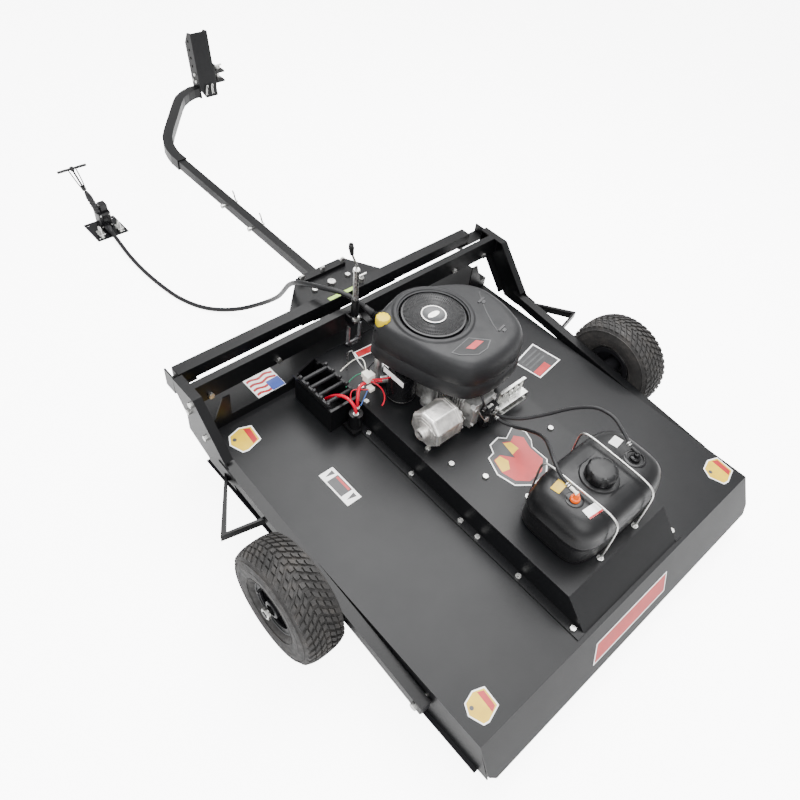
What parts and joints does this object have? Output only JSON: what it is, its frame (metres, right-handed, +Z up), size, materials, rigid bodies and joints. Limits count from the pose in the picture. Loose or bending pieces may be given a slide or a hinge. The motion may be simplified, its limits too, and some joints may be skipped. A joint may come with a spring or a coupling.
{
  "type": "brush mower",
  "caption": "Pull-behind rough-cut brush mower with a hinged deck, engine, fuel tank, offset tow tongue and a cable remote control.",
  "frame": {"origin": "on the ground below the middle of the machine's length and width", "axes": "+X to the machine's right, +Y forward along the tongue, +Z up"},
  "size_m": [1.556, 2.85, 0.6847],
  "materials": {
    "frame_black": "satin powder coat",
    "deck_gray": "satin powder coat",
    "tyre_rubber": "worn matte rubber",
    "rim_steel": "satin",
    "zinc": "bright zinc plate",
    "cover_black": "fine texture",
    "tank_black": "moulded",
    "cast_alloy": "as cast",
    "muffler_silver": "heat-dulled",
    "drive_steel": "machined",
    "belt_rubber": "matte",
    "hose_rubber": "satin",
    "cable_black": "satin",
    "grip_black": "soft grip",
    "cap_yellow": "gloss",
    "fitting_orange": "gloss",
    "lead_red": "gloss",
    "label_mix": "printed film"
  },
  "bodies": {
    "chassis": {"right_rail": "frame_black", "left_rail": "frame_black", "right_arm": "frame_black", "left_arm": "frame_black", "inner_crossbar": "frame_black", "outer_crossbar": "frame_black", "bar_end_brackets": "frame_black", "hitch_plates": "frame_black", "stub_axles": "frame_black", "wheel_guards": "frame_black", "frame_bolts": "zinc", "lift_bracket": "frame_black", "cable_gland": "frame_black", "deck_pivot_pins": "zinc", "control_plate": "frame_black", "control_box": "frame_black", "control_cable": "cable_black"},
    "stand": {"stand_leg": "frame_black"},
    "left_wheel": {"left_tyre": "tyre_rubber", "left_rim": "rim_steel"},
    "right_wheel": {"right_tyre": "tyre_rubber", "right_rim": "rim_steel"},
    "deck": {"deck_shell": "deck_gray", "apron": "frame_black", "engine_platform": "deck_gray", "deck_bolts": "zinc", "lift_links": "zinc", "fuel_tank": "tank_black", "tank_straps": "zinc", "tank_fittings": "fitting_orange", "engine_block": "cast_alloy", "engine_cover": "cover_black", "muffler": "muffler_silver", "starter_can": "cover_black", "air_intake": "cover_black", "heat_shield": "zinc", "fuel_hoses": "hose_rubber", "battery_tray": "frame_black", "solenoid": "frame_black", "battery_cables": "lead_red", "drive_belt": "belt_rubber", "spindle_housing": "cast_alloy"},
    "fuel_filler_cap": {"fuel_cap": "tank_black"},
    "oil_filler_cap": {"oil_cap": "cap_yellow"},
    "crank": {"crankshaft": "drive_steel", "engine_screen": "cover_black", "engine_pulley": "drive_steel"},
    "blade_rotor": {"blade_spindle": "drive_steel", "blade_pulley": "drive_steel", "blade": "drive_steel"},
    "lever": {"lift_lever": "zinc"},
    "lever_release": {"lever_grip": "grip_black"},
    "tongue": {"tongue_tube": "frame_black", "neck": "frame_black", "hitch_post": "frame_black", "hitch_clevis": "frame_black"},
    "sleeve_pins": {"tongue_pins": "zinc"},
    "tow_pin": {"hitch_pin": "zinc"},
    "handle": {"pull_handle": "grip_black"},
    "rocker": {"stop_switch": "grip_black"}
  },
  "joints": [
    {"name": "left_wheel_spin", "type": "hinge", "parent": "chassis", "child": "left_wheel", "pos_m": [-0.704, -0.79599, 0.169], "axis": [1, 0, 0], "continuous": true},
    {"name": "right_wheel_spin", "type": "hinge", "parent": "chassis", "child": "right_wheel", "pos_m": [0.704, -0.79599, 0.169], "axis": [1, 0, 0], "continuous": true},
    {"name": "deck_lift", "type": "hinge", "parent": "chassis", "child": "deck", "pos_m": [0, -1.19299, 0.151], "axis": [1, 0, 0], "range_deg": [0, 4]},
    {"name": "lever_swing", "type": "hinge", "parent": "chassis", "child": "lever", "pos_m": [-0.061, -0.26499, 0.381], "axis": [1, 0, 0], "range_deg": [-0.5, 28.5]},
    {"name": "lever_release", "type": "slide", "parent": "lever", "child": "lever_release", "axis": [-0.0499, -0.024, 0.9985], "range_m": [0, 0.01], "stiffness_N_per_m": 300, "springref_m": -0.005},
    {"name": "blade_spin", "type": "hinge", "parent": "deck", "child": "blade_rotor", "pos_m": [0, -0.77799, 0.105], "axis": [0, 0, 1], "continuous": true},
    {"name": "crank_spin", "type": "hinge", "parent": "deck", "child": "crank", "pos_m": [0.011, -0.51199, 0.297], "axis": [0, 0, 1], "continuous": true},
    {"name": "fuel_cap_turn", "type": "hinge", "parent": "deck", "child": "fuel_filler_cap", "pos_m": [0.024, -1.13299, 0.461], "axis": [0, 0, 1], "continuous": true},
    {"name": "oil_cap_turn", "type": "hinge", "parent": "deck", "child": "oil_filler_cap", "pos_m": [-0.118, -0.44199, 0.527], "axis": [0, 0, 1], "continuous": true},
    {"name": "tongue_swing", "type": "hinge", "parent": "chassis", "child": "tongue", "pos_m": [0.008, -0.06299, 0.3255], "axis": [0, 0, 1], "range_deg": [-10, 10]},
    {"name": "sleeve_pin_pull", "type": "slide", "parent": "tongue", "child": "sleeve_pins", "axis": [-1, 0, 0], "range_m": [0, 0.08]},
    {"name": "tow_pin_lift", "type": "slide", "parent": "tongue", "child": "tow_pin", "axis": [0, 0, 1], "range_m": [0, 0.09]},
    {"name": "stand_slide", "type": "slide", "parent": "chassis", "child": "stand", "axis": [0, 0, 1], "range_m": [0, 0.11]},
    {"name": "handle_pull", "type": "slide", "parent": "chassis", "child": "handle", "axis": [-0.219, 0.219, 0.9508], "range_m": [0, 0.04]},
    {"name": "stop_rocker", "type": "hinge", "parent": "chassis", "child": "rocker", "pos_m": [-0.259, 1.08651, 0.054], "axis": [1, 0, 0], "range_deg": [-8, 8]}
  ],
  "couplings": [
    {"joint": "lever_swing", "follows": "deck_lift", "ratio": 7},
    {"joint": "crank_spin", "follows": "blade_spin", "ratio": 1.5}
  ]
}
